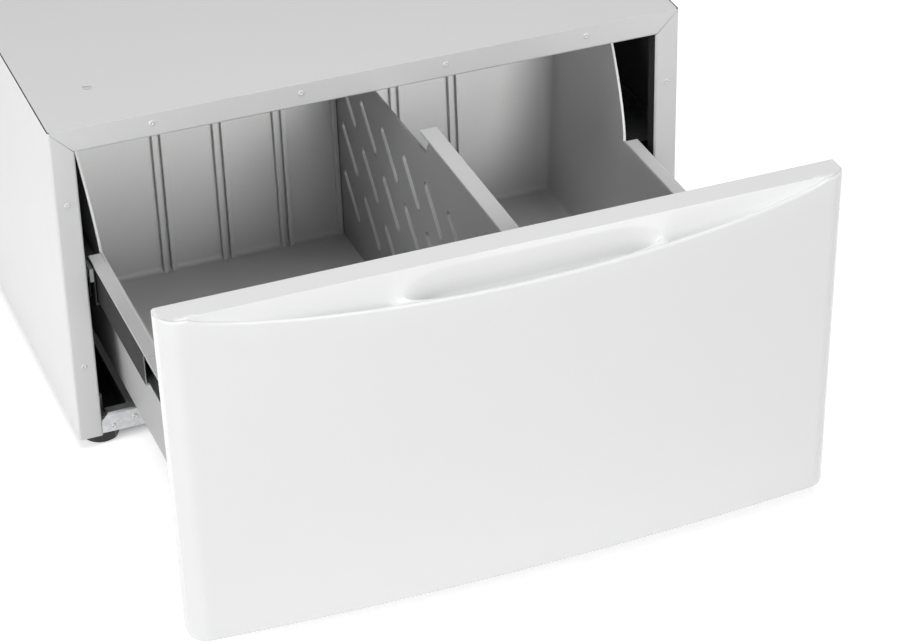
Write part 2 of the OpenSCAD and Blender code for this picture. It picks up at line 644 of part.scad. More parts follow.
function scoop(x, t) = let(l = depth(x, f_top - drop(x)) - lip_r * (1 - cos(lip_a)), s = ledge_at(x)) [
    s + (l - s) * t,
    f_top - (drop(x) + lip_r * (1 - sin(lip_a))) * slope(t) - hollow(x) * valley(t) - bowl(x, t)];
foot_r = 5;
cavity_top = f_top - scoop_h - bowl_h - front_wall - 6;
function outer_profile(x) = let(zl = f_top - drop(x), l = depth(x, zl)) concat(
    [[0, f_top]],
    [for (i = [0:2]) [ledge_at(x) - 3 + 1.5 * i, f_top - 0.6 * pow(i / 2, 2) * min(1, drop(x))]],
    [for (i = [1:scoop_n]) let(p = scoop(x, i / scoop_n)) [p[0], p[1] - 0.001 * i]],
    // rolled lip
    [for (a = [110, 75, 40, 0]) [l - lip_r * (1 - cos(a)), zl - lip_r * (1 - sin(a))]],
    [for (i = [1:4]) let(z = zl - lip_r - (zl - lip_r - front_low - foot_r) * i / 4) [depth(x, z), z]],
    [for (a = [30, 60, 90]) [depth(x, front_low) - foot_r + foot_r * cos(a), front_low + foot_r - foot_r * sin(a)]],
    [[0, front_low]]);
// the hollow behind the face; at the two sides it closes to the back plane
cavity_z = [for (f = [0, 0.25, 0.5, 0.75, 1]) front_low + front_wall + f * (cavity_top - front_low - front_wall)];
function inner_profile(x) = abs(x) < inner_edge
    ? [for (z = cavity_z) [depth(x, z) - front_wall, z]]
    : [for (z = cavity_z) [0, z + (z < front_low + 50 ? 1 : z > cavity_top - 1 ? -1 : 0)]];
inner_edge = f_half - front_wall;
column_n = 64;
columns = concat(
    [for (a = [90:-15:15]) -(f_half - front_r) - front_r * sin(a)],
    [for (i = [0:column_n]) (f_half - front_r) * (2 * i / column_n - 1)],
    [for (a = [15:15:90]) (f_half - front_r) + front_r * sin(a)]);
function place(x, q) = [x * half_at(q[1]) / f_half, panel_y - q[0], q[1]];
function section_at(x) = [for (q = concat(outer_profile(x), [[0, front_low + front_wall]], inner_profile(x),
    [[0, cavity_top]])) place(x, q)];
module drawer_front() drawer() color(white) {
    rows = [for (x = columns) section_at(x)];
    n = len(rows[0]);
    m = len(rows);
    middle = [depth(f_half, f_top) / 2, front_low + front_h / 2];
    polyhedron(
        points = concat([for (r = rows) each r], [place(-f_half, middle), place(f_half, middle)]),
        faces = concat(
            [for (i = [0:m - 2], j = [0:n - 1]) let(k = (j + 1) % n)
                each [[i * n + j, (i + 1) * n + j, i * n + k], [(i + 1) * n + j, (i + 1) * n + k, i * n + k]]],
            [for (j = [0:n - 1]) [j, (j + 1) % n, m * n]],
            [for (j = [0:n - 1]) [(m - 1) * n + (j + 1) % n, (m - 1) * n + j, m * n + 1]]));
}
module front_inner_panel() drawer() color(enamel) along_y(panel_y, panel_y + sheet) polygon(rounded([
    [-half_at(front_low) + 4, front_low + 4, 6], [half_at(front_low) - 4, front_low + 4, 6],
    [half_at(f_top) - 4, f_top - 6, 6], [-half_at(f_top) + 4, f_top - 6, 6]]));
bumper_r = 4.5;
bumper_in = 55;
module drawer_bumpers() drawer() color(dark_grey) for (s = [-1, 1], z = [z0 + bumper_in, top - bumper_in])
    rod_y(s * (hw - frame_w / 2 - 3), panel_y + sheet, z, bumper_r, front_gap - sheet - gap);
front_screw_pitch = 160;
front_screw_z = [bin_floor + 40, rim_z - 30];
module front_screws() drawer() color(zinc) for (k = [-1.5, -0.5, 0.5, 1.5], z = front_screw_z)
    translate([k * front_screw_pitch, bin_in0, z]) rotate([-90, 0, 0]) cylinder(r1 = head_r, r2 = head_r - 1, h = head_h);

// ---- divider ----

div_x = channel_at[rib_n / 2] - div_t / 2;
div_low = bin_floor + gap;
div_y0 = bin_in0 + gap + 0.1;
div_y1 = bin_in1 - gap - 0.1;
bar_t = 3;
bar_under = bar_z - bar_t;
bar_y1 = bar_l;
bar_tail = 24;       // the bar reaches this far past the step
step_y = bar_y1 - bar_tail;
module slot() rotate(slot_a) translate([-slot_l / 2, -slot_w / 2]) {
    translate([0, 0]) square([slot_l, slot_w]);
    translate([0, slot_w / 2]) circle(r = slot_w / 2);
    translate([slot_l, slot_w / 2]) circle(r = slot_w / 2);
}
module divider_plate() drawer() color(dark_grey) along_x(div_x, div_x + div_t) difference() {
    polygon(rounded([[div_y0, div_low, bin_r / 2 + 1], [div_y1, div_low, bin_r + 1],
        [div_y1 + (div_z - div_low) * back_draft, div_z, 3], [step_y + 8, div_z + 8, 0],
        [step_y, bar_under, 0], [div_y0, bar_under, 0]], 4));
    for (i = [0:7], j = [0:2]) translate([div_y1 - 38 - i * slot_dy, div_low + 67 + j * slot_dz]) slot();
}
module divider_bar() drawer() color(grey) {
    translate([div_x, div_y0, bar_under]) cube([bar_w, bar_y1 - div_y0, bar_t]);
    translate([div_x + bar_w - 2, div_y0, bar_under - 6]) cube([2, bar_y1 - div_y0, 6.5]);
    translate([div_x + div_t + gap, div_y0, bar_under - 8]) cube([2, step_y - div_y0, 8.5]);
}

left_side_panel();
right_side_panel();
front_top_rail();
top_deck();
front_deck_brace();
rear_deck_brace();
rear_panel();
front_bottom_rail();
rear_bottom_rail();
left_base_channel();
right_base_channel();
left_slide_bracket();
right_slide_bracket();
left_slide_outer();
right_slide_outer();
slide_front_clips();
frame_rivets();
base_rail_rivets();
cabinet_screws();
foot_weld_nuts();
drawer_bin();
drawer_front();
front_inner_panel();
left_slide_inner();
right_slide_inner();
slide_screws();
front_screws();
drawer_bumpers();
divider_plate();
divider_bar();
left_slide_intermediate();
right_slide_intermediate();
left_outer_cage();
right_outer_cage();
left_inner_cage();
right_inner_cage();
left_outer_balls();
right_outer_balls();
left_inner_balls();
right_inner_balls();
front_left_foot();
front_right_foot();
rear_left_foot();
rear_right_foot();
front_left_stem();
front_right_stem();
rear_left_stem();
rear_right_stem();
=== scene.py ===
import math

import bmesh
import bpy
from mathutils import Matrix, Vector
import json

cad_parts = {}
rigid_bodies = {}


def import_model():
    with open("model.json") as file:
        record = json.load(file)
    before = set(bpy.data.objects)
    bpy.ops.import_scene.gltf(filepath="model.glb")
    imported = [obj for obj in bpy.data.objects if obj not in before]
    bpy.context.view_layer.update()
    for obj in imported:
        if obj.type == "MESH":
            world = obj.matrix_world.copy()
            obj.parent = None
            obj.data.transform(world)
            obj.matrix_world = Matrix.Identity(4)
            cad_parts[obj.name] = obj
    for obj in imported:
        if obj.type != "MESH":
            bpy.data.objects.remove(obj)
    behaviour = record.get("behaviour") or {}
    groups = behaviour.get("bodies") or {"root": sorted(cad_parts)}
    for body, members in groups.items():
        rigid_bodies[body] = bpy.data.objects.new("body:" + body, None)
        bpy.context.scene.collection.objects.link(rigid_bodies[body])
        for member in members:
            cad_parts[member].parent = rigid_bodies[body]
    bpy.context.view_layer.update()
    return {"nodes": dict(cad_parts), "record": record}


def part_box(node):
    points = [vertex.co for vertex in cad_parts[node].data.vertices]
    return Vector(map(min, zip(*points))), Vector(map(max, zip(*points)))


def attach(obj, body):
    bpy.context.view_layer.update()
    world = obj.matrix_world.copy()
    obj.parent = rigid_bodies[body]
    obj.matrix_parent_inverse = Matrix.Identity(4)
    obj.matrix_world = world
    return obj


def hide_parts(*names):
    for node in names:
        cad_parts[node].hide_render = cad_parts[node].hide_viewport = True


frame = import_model()
nodes = frame["nodes"]
bodyOf = {n: body for body, members in frame["record"]["behaviour"]["bodies"].items() for n in members}
slotOf = {part["node"]: part["material_slot"] for part in frame["record"]["subparts"]}
scene = bpy.context.scene
mm = 0.001
print("frame loaded:", len(nodes), "nodes")


def materialNodes(name):
    material = bpy.data.materials.new(name)
    material.use_nodes = True
    tree = material.node_tree
    return material, tree, tree.nodes["Principled BSDF"]


def objectCoordinates(tree, scale=(1, 1, 1)):
    coordinate = tree.nodes.new("ShaderNodeTexCoord")
    mapping = tree.nodes.new("ShaderNodeMapping")
    mapping.inputs["Scale"].default_value = scale
    tree.links.new(coordinate.outputs["Object"], mapping.inputs["Vector"])
    return mapping.outputs["Vector"]


def noise(tree, vector, scale, detail=3.0, roughness=0.5):
    node = tree.nodes.new("ShaderNodeTexNoise")
    node.inputs["Scale"].default_value = scale
    node.inputs["Detail"].default_value = detail
    node.inputs["Roughness"].default_value = roughness
    tree.links.new(vector, node.inputs["Vector"])
    return node.outputs["Fac"]


def spread(tree, value, low, high, fromLow=0.3, fromHigh=0.7):
    node = tree.nodes.new("ShaderNodeMapRange")
    for label, number in (("From Min", fromLow), ("From Max", fromHigh), ("To Min", low), ("To Max", high)):
        node.inputs[label].default_value = number
    tree.links.new(value, node.inputs["Value"])
    return node.outputs["Result"]


mixFirst, mixSecond, mixResult = 6, 7, 2     # the colour sockets of a Mix node


def tint(tree, factor, dark, light):
    node = tree.nodes.new("ShaderNodeMix")
    node.data_type = "RGBA"
    node.inputs[mixFirst].default_value = (*dark, 1)
    node.inputs[mixSecond].default_value = (*light, 1)
    tree.links.new(factor, node.inputs[0])
    return node.outputs[mixResult]


def bump(tree, shader, height, strength, distance, below=None):
    node = tree.nodes.new("ShaderNodeBump")
    node.inputs["Strength"].default_value = strength
    node.inputs["Distance"].default_value = distance
    tree.links.new(height, node.inputs["Height"])
    if below:
        tree.links.new(below, node.inputs["Normal"])
    tree.links.new(node.outputs["Normal"], shader.inputs["Normal"])
    return node.outputs["Normal"]


def mottle(tree, value, colour, share):
    # the colour, a little darker and lighter by turns
    dark = tuple(c * (1 - share) for c in colour)
    light = tuple(min(1, c * (1 + share)) for c in colour)
    return tint(tree, spread(tree, value, 0, 1), dark, light)


def varyGloss(tree, shader, value, settings):
    less, more = settings["glossSpread"]
    gloss = spread(tree, value, settings["roughness"] - less, settings["roughness"] + more)
    tree.links.new(gloss, shader.inputs["Roughness"])


def paintMaterial(name, settings):
    # sprayed or moulded gloss: slow waves in the surface and a fine peel on top
    material, tree, shader = materialNodes(name)
    place = objectCoordinates(tree)
    clouds = noise(tree, place, settings["cloudScale"], detail=2)
    tree.links.new(mottle(tree, clouds, settings["colour"], settings["cloudShare"]), shader.inputs["Base Color"])
    varyGloss(tree, shader, noise(tree, place, settings["smearScale"], detail=4, roughness=0.6), settings)
    waves = noise(tree, place, settings["waveScale"], detail=1)
    peel = noise(tree, place, settings["peelScale"], detail=2)
    wavy = bump(tree, shader, waves, settings["bump"], settings["waveHeight"])
    bump(tree, shader, peel, settings["bump"], settings["peelHeight"], wavy)
    shader.inputs["Coat Weight"].default_value = settings["coat"]
    shader.inputs["Coat Roughness"].default_value = settings["coatRoughness"]
    shader.inputs["IOR"].default_value = settings["ior"]
    shader.inputs["Specular IOR Level"].default_value = settings["specular"]
    return material


def plasticMaterial(name, settings):
    # etched mould surface: fine leather-like cells with a little grain in the colour
    material, tree, shader = materialNodes(name)
    place = objectCoordinates(tree)
    speckle = noise(tree, place, settings["speckleScale"], detail=3, roughness=0.7)
    clouds = noise(tree, place, settings["cloudScale"], detail=2)
    specks = tint(tree, spread(tree, speckle, 0, 1), (1 - settings["speckleShare"],) * 3, (1, 1, 1))
    grained = tree.nodes.new("ShaderNodeMix")
    grained.data_type = "RGBA"
    grained.blend_type = "MULTIPLY"
    grained.inputs[0].default_value = 1
    tree.links.new(mottle(tree, clouds, settings["colour"], settings["cloudShare"]), grained.inputs[mixFirst])
    tree.links.new(specks, grained.inputs[mixSecond])
    tree.links.new(grained.outputs[mixResult], shader.inputs["Base Color"])
    varyGloss(tree, shader, speckle, settings)
    cells = tree.nodes.new("ShaderNodeTexVoronoi")
    cells.inputs["Scale"].default_value = settings["cellScale"]
    tree.links.new(place, cells.inputs["Vector"])
    grain = bump(tree, shader, cells.outputs["Distance"], settings["bump"], settings["cellHeight"])
    bump(tree, shader, speckle, settings["bump"], settings["speckleHeight"], grain)
    return material


def galvanisedMaterial(name, settings):
    # zinc spangle: crystals that differ in tone and gloss
    material, tree, shader = materialNodes(name)
    place = objectCoordinates(tree)
    crystals = tree.nodes.new("ShaderNodeTexVoronoi")
    crystals.inputs["Scale"].default_value = settings["spangleScale"]
    tree.links.new(place, crystals.inputs["Vector"])
    tone = tree.nodes.new("ShaderNodeSeparateColor")
    tree.links.new(crystals.outputs["Color"], tone.inputs["Color"])
    tree.links.new(mottle(tree, tone.outputs["Red"], settings["colour"], settings["spangleShare"]),
                   shader.inputs["Base Color"])
    varyGloss(tree, shader, noise(tree, place, settings["streakScale"], detail=4, roughness=0.7), settings)
    grain = noise(tree, place, settings["grainScale"], detail=2)
    bump(tree, shader, grain, settings["bump"], settings["grainHeight"])
    shader.inputs["Metallic"].default_value = settings["metallic"]
    return material


def steelMaterial(name, settings):
    # rolled steel: lines drawn out along the member
    material, tree, shader = materialNodes(name)
    lines = noise(tree, objectCoordinates(tree, settings["lineScale"]), 1, detail=4, roughness=0.6)
    stains = noise(tree, objectCoordinates(tree), settings["stainScale"])
    tree.links.new(mottle(tree, stains, settings["colour"], settings["stainShare"]), shader.inputs["Base Color"])
    varyGloss(tree, shader, lines, settings)
    bump(tree, shader, lines, settings["bump"], settings["lineHeight"])
    shader.inputs["Metallic"].default_value = settings["metallic"]
    return material


# the cabinet's white enamel, set a little darker than the moulding as painted shade on the frame
whitePaint = dict(colour=(0.75, 0.756, 0.752), cloudShare=0.006, cloudScale=5, smearScale=40, roughness=0.3,
                  glossSpread=(0.02, 0.03), waveScale=9, waveHeight=0.00002, peelScale=700, peelHeight=0.0000004,
                  bump=0.5, coat=0.2, coatRoughness=0.08, ior=1.46, specular=0.5)
whiteMoulding = dict(whitePaint, colour=(0.80, 0.808, 0.802), cloudShare=0.004, cloudScale=3, smearScale=18,
                     roughness=0.2, waveScale=5, waveHeight=0.00004, peelScale=1400, peelHeight=0.0000003, coat=0.4)
deckPaint = dict(whitePaint, colour=(0.74, 0.745, 0.74), roughness=0.4, coat=0.0)
# near-black paint that stands in for the shade inside the cabinet and in the slides
paintedShadePrimer = dict(whitePaint, colour=(0.03, 0.03, 0.032), roughness=0.7, coat=0.0, cloudShare=0.06, specular=0.15)
binPlastic = dict(colour=(0.50, 0.506, 0.50), cloudShare=0.015, cloudScale=7, speckleScale=1500, speckleShare=0.12,
                  roughness=0.5, glossSpread=(0.08, 0.08), cellScale=900, cellHeight=0.00012, speckleHeight=0.0001,
                  bump=0.35)
# the divider's grey plastic, set darker than the bin's as painted shade on a plate turned away from the light
dividerShadedPlastic = dict(binPlastic, colour=(0.25, 0.253, 0.252), speckleShare=0.08)
barPlastic = dict(binPlastic, colour=(0.43, 0.435, 0.43), speckleShare=0.08, roughness=0.45)
footPlastic = dict(binPlastic, colour=(0.012, 0.012, 0.013), roughness=0.42, speckleShare=0.3)
bumperPlastic = dict(binPlastic, colour=(0.08, 0.08, 0.08), roughness=0.7, speckleShare=0.2)
zincCoat = dict(colour=(0.62, 0.63, 0.64), spangleScale=240, spangleShare=0.06, streakScale=60, roughness=0.42,
                glossSpread=(0.1, 0.12), grainScale=900, grainHeight=0.00005, bump=0.3, metallic=0.85)
# galvanised zinc painted near black, as the shade deep inside the cabinet
paintedShadeZinc = dict(zincCoat, colour=(0.08, 0.082, 0.085), roughness=0.6)
slideSteel = dict(colour=(0.56, 0.57, 0.58), lineScale=(900, 6, 900), lineHeight=0.00004, bump=0.35, stainScale=25,
                  stainShare=0.1, roughness=0.3, glossSpread=(0.08, 0.1), metallic=0.9)
cageSteel = dict(slideSteel, colour=(0.62, 0.60, 0.52), roughness=0.4)
ballSteel = dict(slideSteel, colour=(0.72, 0.72, 0.73), roughness=0.12)

finish = {
    "white_enamel": paintMaterial("white_enamel", whitePaint),
    "front_white": paintMaterial("front_white", whiteMoulding),
    "primer_white": paintMaterial("deck_enamel", deckPaint),
    "bin_grey": plasticMaterial("bin_plastic", binPlastic),
    "divider_grey": plasticMaterial("divider_plastic", dividerShadedPlastic),
    "bar_grey": plasticMaterial("bar_plastic", barPlastic),
    "foot_black": plasticMaterial("foot_plastic", footPlastic),
    "bumper_rubber": plasticMaterial("bumper_rubber", bumperPlastic),
    "galvanised": galvanisedMaterial("galvanised_zinc", zincCoat),
    "slide_steel": steelMaterial("slide_steel", slideSteel),
    "cage_steel": steelMaterial("cage_steel", cageSteel),
    "ball_steel": steelMaterial("ball_steel", ballSteel),
    "dull_zinc": galvanisedMaterial("dull_zinc", paintedShadeZinc),        # zinc painted dark as the shade inside the cabinet
    "painted_shade_inside": paintMaterial("dark_primer", paintedShadePrimer),       # insides painted near black as shade
}
# pieces deep in the cabinet, painted dark zinc as shade
paintedShadeNodes = ("left_base_channel", "right_base_channel", "left_slide_bracket", "right_slide_bracket",
             "left_slide_outer", "right_slide_outer")
for nodeName, piece in nodes.items():      # every CAD piece starts with its own finish, or with zinc painted dark as shade
    piece.data.materials.clear()
    piece.data.materials.append(finish["dull_zinc" if nodeName in paintedShadeNodes else slotOf[nodeName]])
print("materials ready:", len(finish))


mergeReach = 0.000002      # corners of a mesh that lie closer than this are one


class Term:
    # a value in a node tree; sums and products of terms add the math nodes
    def __init__(self, tree, socket):
        self.tree, self.socket = tree, socket

    def calculate(self, operation, *others):
        node = self.tree.nodes.new("ShaderNodeMath")
        node.operation = operation
        for i, value in enumerate((self, *others)):
            if isinstance(value, Term):
                self.tree.links.new(value.socket, node.inputs[i])
            else:
                node.inputs[i].default_value = value
        return Term(self.tree, node.outputs[0])

    def __add__(self, other):
        return self.calculate("ADD", other)

    def __sub__(self, other):
        return self.calculate("SUBTRACT", other)

    def __mul__(self, other):
        return self.calculate("MULTIPLY", other)

    def __truediv__(self, other):
        return self.calculate("DIVIDE", other)

    def __pow__(self, other):
        return self.calculate("POWER", other)

    def __neg__(self):
        return self * -1

    def least(self, other):
        return self.calculate("MINIMUM", other)

    def most(self, other):
        return self.calculate("MAXIMUM", other)

    def clamp(self):
        return self.most(0).least(1)

    def between(self, start, end):
        # how far the value has come from start to end, as a share
        return ((self - start) / (end - start)).clamp()

    def smooth(self):
        s = self.clamp()
        return s * s * (s * -2 + 3)

    def sine(self):
        return self.calculate("SINE")

    def cosine(self):
        return self.calculate("COSINE")

    def root(self):
        return self.most(0).calculate("SQRT")

    def absolute(self):
        return self.calculate("ABSOLUTE")

    def sign(self):
        return self.calculate("SIGN")


class PieceTree:
    # a geometry node tree with named inputs, one for each size in the settings
    def __init__(self, name, settings):
        self.tree = bpy.data.node_groups.new(name, "GeometryNodeTree")
        self.tree.interface.new_socket("Geometry", in_out="OUTPUT", socket_type="NodeSocketGeometry")
        self.tree.interface.new_socket("Places", in_out="INPUT", socket_type="NodeSocketGeometry")
        self.settings = settings
        self.inputs = {}
        self.identifiers = {}
        for label, value in settings.items():
            kind = "NodeSocketInt" if isinstance(value, int) else "NodeSocketFloat"
            item = self.tree.interface.new_socket(label, in_out="INPUT", socket_type=kind)
            self.identifiers[label] = item.identifier
        entry = self.tree.nodes.new("NodeGroupInput")
        self.places = entry.outputs["Places"]
        for label in settings:
            self.inputs[label] = Term(self.tree, entry.outputs[label])

    def add(self, kind, values=None, **properties):
        node = self.tree.nodes.new(kind)
        for key, value in properties.items():
            setattr(node, key, value)
        for key, value in (values or {}).items():
            if isinstance(value, Term):
                self.tree.links.new(value.socket, node.inputs[key])
            elif isinstance(value, bpy.types.NodeSocket):
                self.tree.links.new(value, node.inputs[key])
            else:
                node.inputs[key].default_value = value
        return node

    def vector(self, x=0.0, y=0.0, z=0.0):
        return self.add("ShaderNodeCombineXYZ", {"X": x, "Y": y, "Z": z}).outputs[0]

    def coordinates(self):
        split = self.add("ShaderNodeSeparateXYZ", {"Vector": self.add("GeometryNodeInputPosition").outputs[0]})
        return [Term(self.tree, output) for output in split.outputs]

    def join(self, *geometries):
        node = self.tree.nodes.new("GeometryNodeJoinGeometry")
        for geometry in geometries:
            self.tree.links.new(geometry, node.inputs[0])
        return node.outputs[0]

    def revolve(self, sides, rows, radius, height):
        # a turned shape: radius and height are formulas of the share along its outline, from 0 to 1
        grid = self.add("GeometryNodeMeshGrid", {
            "Size X": 2 * math.pi, "Size Y": 1.0, "Vertices X": sides + 1, "Vertices Y": rows + 1})
        angle, share, _ = self.coordinates()
        share = share + 0.5
        r = radius(share)
        x, y = angle.cosine() * r, angle.sine() * r
        turned = self.add("GeometryNodeSetPosition", {
            "Geometry": grid.outputs[0], "Position": self.vector(x * mm, y * mm, height(share, x, y) * mm)})
        joined = self.add("GeometryNodeMergeByDistance", {"Geometry": turned.outputs[0], "Distance": mergeReach / 2})
        return joined.outputs[0]

    def repeat(self, geometry, places, turn=(0, 0, 0)):
        copies = self.add("GeometryNodeInstanceOnPoints", {
            "Points": places, "Instance": geometry, "Rotation": turn})
        return copies.outputs[0]

    def makePiece(self, name, geometry, material, places=()):
        # ends the tree, runs it once and keeps its result as a plain mesh
        real = self.add("GeometryNodeRealizeInstances", {"Geometry": geometry})
        painted = self.add("GeometryNodeSetMaterial", {"Geometry": real.outputs[0], "Material": material})
        exitNode = self.tree.nodes.new("NodeGroupOutput")
        self.tree.links.new(painted.outputs[0], exitNode.inputs[0])
        base = bpy.data.meshes.new(name + "_places")
        base.from_pydata(places, [], [])
        carrier = bpy.data.objects.new(name + "_tree", base)
        scene.collection.objects.link(carrier)
        modifier = carrier.modifiers.new("shape", "NODES")
        modifier.node_group = self.tree
        for label, value in self.settings.items():
            modifier[self.identifiers[label]] = value
        ready = carrier.evaluated_get(bpy.context.evaluated_depsgraph_get())
        mesh = bpy.data.meshes.new_from_object(ready)
        bpy.data.objects.remove(carrier)
        return addPiece(name, mesh)


def addPiece(name, mesh):
    mesh.name = name
    piece = bpy.data.objects.new(name, mesh)
    scene.collection.objects.link(piece)
    return piece


def shadeSmooth(mesh, angle):
    mesh.shade_smooth()
    mesh.set_sharp_from_angle(angle=math.radians(angle))


def cleanMesh(mesh, distance=mergeReach):
    work = bmesh.new()
    work.from_mesh(mesh)
    bmesh.ops.remove_doubles(work, verts=work.verts, dist=distance)
    bmesh.ops.dissolve_degenerate(work, edges=work.edges, dist=distance)
    bmesh.ops.recalc_face_normals(work, faces=work.faces)
    work.to_mesh(mesh)
    work.free()


def soften(piece, width, segments=2, angle=35):
    edges = piece.modifiers.new("soft edges", "BEVEL")
    edges.width = width * mm
    edges.segments = segments
    edges.limit_method = "ANGLE"
    edges.angle_limit = math.radians(angle)
    weights = piece.modifiers.new("flat faces", "WEIGHTED_NORMAL")
    weights.keep_sharp = True


def fasten(piece, body, slot, *replaced):
    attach(piece, body)
    if replaced:
        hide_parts(*replaced)


# the cabinet's front plane, carried along with the drawer; the bin's rims lie a little ahead of it
rimLead = 2.4
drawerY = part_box("drawer_bin")[0].y / mm + rimLead
frontSizes = {
    "Half width": 342.0, "Top": 381.0, "Low": 19.0, "Taper": 5.8, "Thickness": 45.7, "Bow": 14.7, "Lean": 6.0,
    "Corner radius": 18.0, "Edge radius": 3.0, "Ledge": 26.8, "Least scoop": 4.0,
    "Scoop half width": 317.0, "Scoop depth": 28.0, "Scoop power": 0.72, "Slope start": 0.05, "Slope power": 0.85,
    "Bowl half width": 130.0, "Bowl place": 14.0, "Bowl depth": 20.0, "Bowl end": 50.0, "Bowl middle": 0.56,
    "Bowl above": 0.44, "Bowl below": 0.4, "Bowl wall": 2.8, "Bowl power": 1.3,
    "Hollow depth": 12.0, "Saddle": 18.0, "Hollow fade": 190.0, "Valley": 1.5, "Valley power": 1.2,
    "Lip radius": 2.8, "Lip start": 2.44, "Foot radius": 5.0, "Back plane": drawerY - 3.6,
}
frontRows = [("ledge", 6), ("scoop", 56), ("lip", 10), ("face", 14), ("foot", 8), ("under", 2), ("back", 1)]
frontColumns = {"middle": 220, "corner": 16, "side": 3}


def drawerFront():
    tree = PieceTree("Drawer front", frontSizes)
    size = tree.inputs
    rows = sum(n for _, n in frontRows)
    columns = frontColumns["middle"] + 2 * (frontColumns["corner"] + frontColumns["side"])
    grid = tree.add("GeometryNodeMeshGrid", {
        "Size X": float(columns), "Size Y": float(rows), "Vertices X": columns + 1, "Vertices Y": rows + 1})
    column, row, _ = tree.coordinates()
    row = row + rows / 2
    stage = {}
    start = 0
    for label, count in frontRows:
        stage[label] = row.between(start, start + count)
        start += count

    # across: even steps, then the rounded corner, then the flat side that runs to the back plane
    away = column.absolute()
    middle = frontColumns["middle"] / 2
    cornerEnd = middle + frontColumns["corner"]
    corner = away.between(middle, cornerEnd) * (math.pi / 2)
    side = away.between(cornerEnd, cornerEnd + frontColumns["side"])
    straight = size["Half width"] - size["Corner radius"]
    reach = (away / middle).least(1) * straight + corner.sine() * size["Corner radius"]
    share = reach / size["Half width"]
    square = share * share
    cornerCut = size["Corner radius"] - corner.cosine() * size["Corner radius"]
    height = size["Top"] - size["Low"]
    flat = size["Thickness"] - size["Bow"] * square - cornerCut       # depth of the face at its lower edge
    tilt = size["Lean"] / height * (-square + 1)                      # what it gains for each millimetre up

    # along the section: each stage adds its own travel in depth and in height
    scoopShare = reach / size["Scoop half width"]
    drop = (-(scoopShare * scoopShare) + 1).most(0) ** size["Scoop power"] * size["Scoop depth"]
    fromBowl = (reach * column.sign() - size["Bowl place"]).absolute()
    beyond = fromBowl - size["Bowl half width"]                       # past the bowl's end
    fade = ((size["Scoop half width"] - reach) / size["Hollow fade"]).smooth()
    hollow = (beyond / size["Saddle"]).smooth() * fade * size["Hollow depth"]
    lip = size["Lip radius"]
    lipTop = size["Top"] - drop
    lipDepth = flat + tilt * (lipTop - size["Low"])
    ledge = size["Ledge"].least(flat + tilt * height - size["Least scoop"])
    lipStart = size["Lip start"]                                      # the turn at which the scoop runs into the lip
    lipIn = lip - lip * lipStart.cosine()
    lipRise = lip - lip * lipStart.sine()
    t = stage["scoop"]
    eased = t * t / (t + size["Slope start"]) * (size["Slope start"] + 1)
    slope = (eased * (math.pi / 2)).sine() ** size["Slope power"]
    valley = ((t ** size["Valley"]) * math.pi).sine().most(0) ** size["Valley power"]
    offset = t - size["Bowl middle"]
    off = offset.most(0) / size["Bowl below"] + (-offset).most(0) / size["Bowl above"]
    end = (beyond / size["Bowl end"] + 1).most(0)
    within = -(off * off + end * end).root() + 1
    bowl = (within * size["Bowl wall"]).clamp() ** size["Bowl power"] * size["Bowl depth"]
    turn = -stage["lip"] * lipStart + lipStart
    depth = ledge * stage["ledge"] + (lipDepth - lipIn - ledge) * t
    depth = depth + (turn.cosine() - lipStart.cosine()) * lip
    rise = -(slope * (drop + lipRise)) - valley * hollow - bowl + (turn.sine() - lipStart.sine()) * lip
    fall = lipTop - lip - size["Low"] - size["Foot radius"]
    depth = depth - tilt * fall * stage["face"]
    rise = rise - fall * stage["face"]
    curl = stage["foot"] * (math.pi / 2)
    depth = depth - size["Foot radius"] * (-curl.cosine() + 1)
    rise = rise - size["Foot radius"] * curl.sine()
    lowDepth = flat + tilt * size["Foot radius"] - size["Foot radius"]
    depth = depth - lowDepth * stage["under"]
    rise = rise + height * stage["back"]

    # rounded ends of the top and bottom edges, then the draw-in towards the bottom
    edge = (reach - size["Half width"] + size["Edge radius"]).most(0)
    cut = size["Edge radius"] - (size["Edge radius"] * size["Edge radius"] - edge * edge).root()
    centre = rise + height / 2
    z = centre * (-(cut * 2 / height) + 1) + size["Low"] + height / 2
    drawIn = size["Taper"] * (size["Top"] - z) / height / size["Half width"]
    x = reach * (-drawIn + 1) * column.sign()
    y = size["Back plane"] - depth.most(0) * (-side + 1)
    moved = tree.add("GeometryNodeSetPosition", {
        "Geometry": grid.outputs[0], "Position": tree.vector(x * mm, y * mm, z * mm)})
    piece = tree.makePiece("drawer_front_moulding", moved.outputs[0], finish["front_white"])
    cleanMesh(piece.data)
    shadeSmooth(piece.data, 50)
    fasten(piece, "drawer", "front_white", "drawer_front")


drawerFront()
print("drawer front moulded")


binSizes = {
    "floor": 59.4, "half": 283.98, "front": 0.6, "back": 573.6, "sideDraft": 0.055, "backDraft": 0.04, "wall": 3.0,
    "floorRadius": 6.0, "cornerRadius": 9.0, "rim": 219.4, "top": 345.0, "wingStart": 376.6, "wingRun": 69.0,
    "wingPower": 1.41, "softEdge": 0.8,
}
binSteps = {"length": 14.0, "corner": 8, "wing": 14, "beforeWing": 8.0, "floorEdge": 6, "wall": 12}


